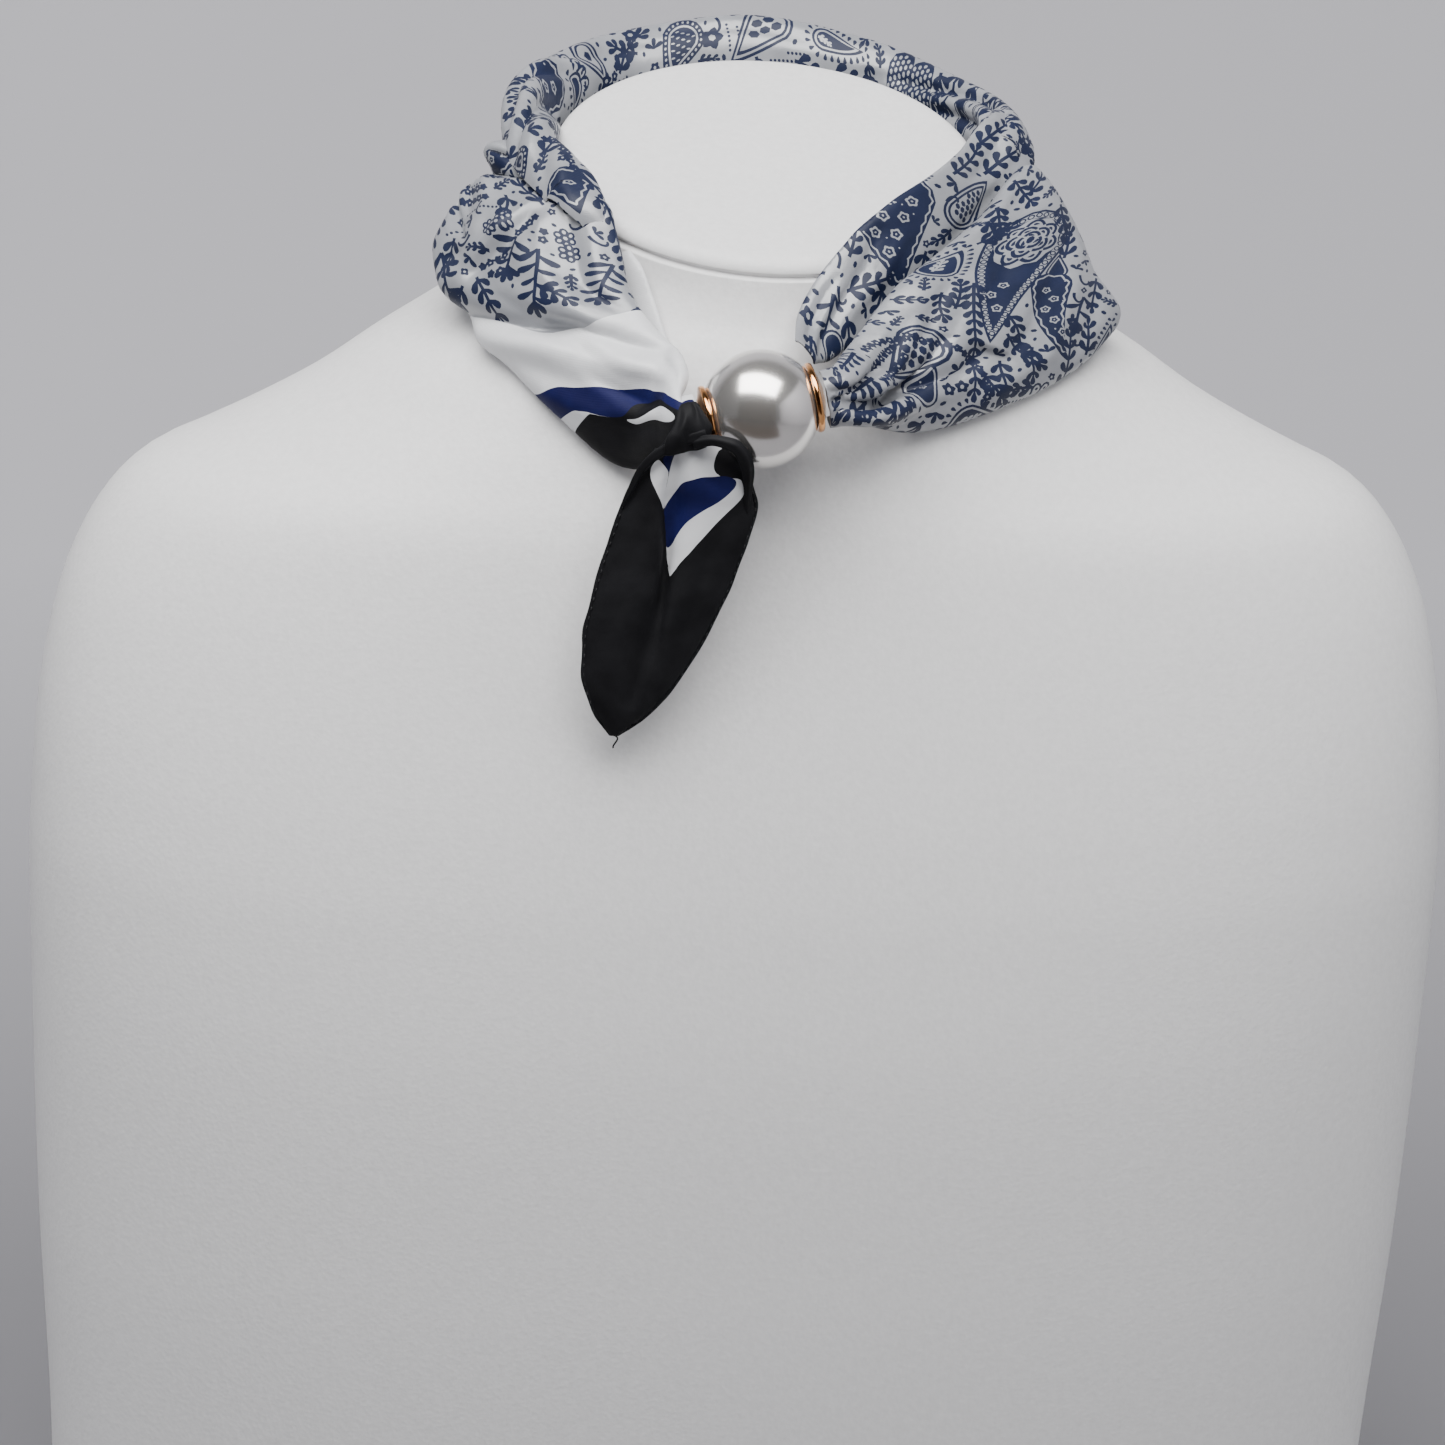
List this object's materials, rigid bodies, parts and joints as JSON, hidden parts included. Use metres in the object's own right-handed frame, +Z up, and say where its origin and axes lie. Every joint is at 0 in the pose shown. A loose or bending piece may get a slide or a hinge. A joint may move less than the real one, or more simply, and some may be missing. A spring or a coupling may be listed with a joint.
{
  "type": "neck scarf with magnetic clasp on a display bust",
  "caption": "Square scarf rolled round the back of a neck, opening into folds in front, held by a round pearl magnetic clasp beside a knotted hanging corner, on a limbless display bust.",
  "frame": {"origin": "on the flat base, under the middle of the bounding box", "axes": "+Z up, -Y the way the bust faces, +X to the right seen from the front"},
  "size_m": [0.3798, 0.1705, 0.4516],
  "materials": {
    "leatherette": "pale grey-white leatherette with a fine pebble grain",
    "printed_cloth": "satin off-white cloth with a navy paisley print",
    "white_cloth": "plain satin off-white cloth",
    "black_cloth": "satin black border cloth",
    "pearl": "pearl coating, glossy",
    "rose_gold": "polished rose-gold plating"
  },
  "bodies": {
    "root": {"display_bust": "leatherette", "scarf_back_roll": "printed_cloth", "scarf_left_panel": "printed_cloth", "scarf_left_under_layer": "white_cloth", "scarf_right_fan": "printed_cloth", "scarf_right_inner_layer": "printed_cloth", "scarf_knot": "black_cloth", "scarf_tail": "black_cloth", "clasp_pearl": "pearl", "clasp_ring_left": "rose_gold", "clasp_ring_right": "rose_gold"}
  },
  "joints": []
}
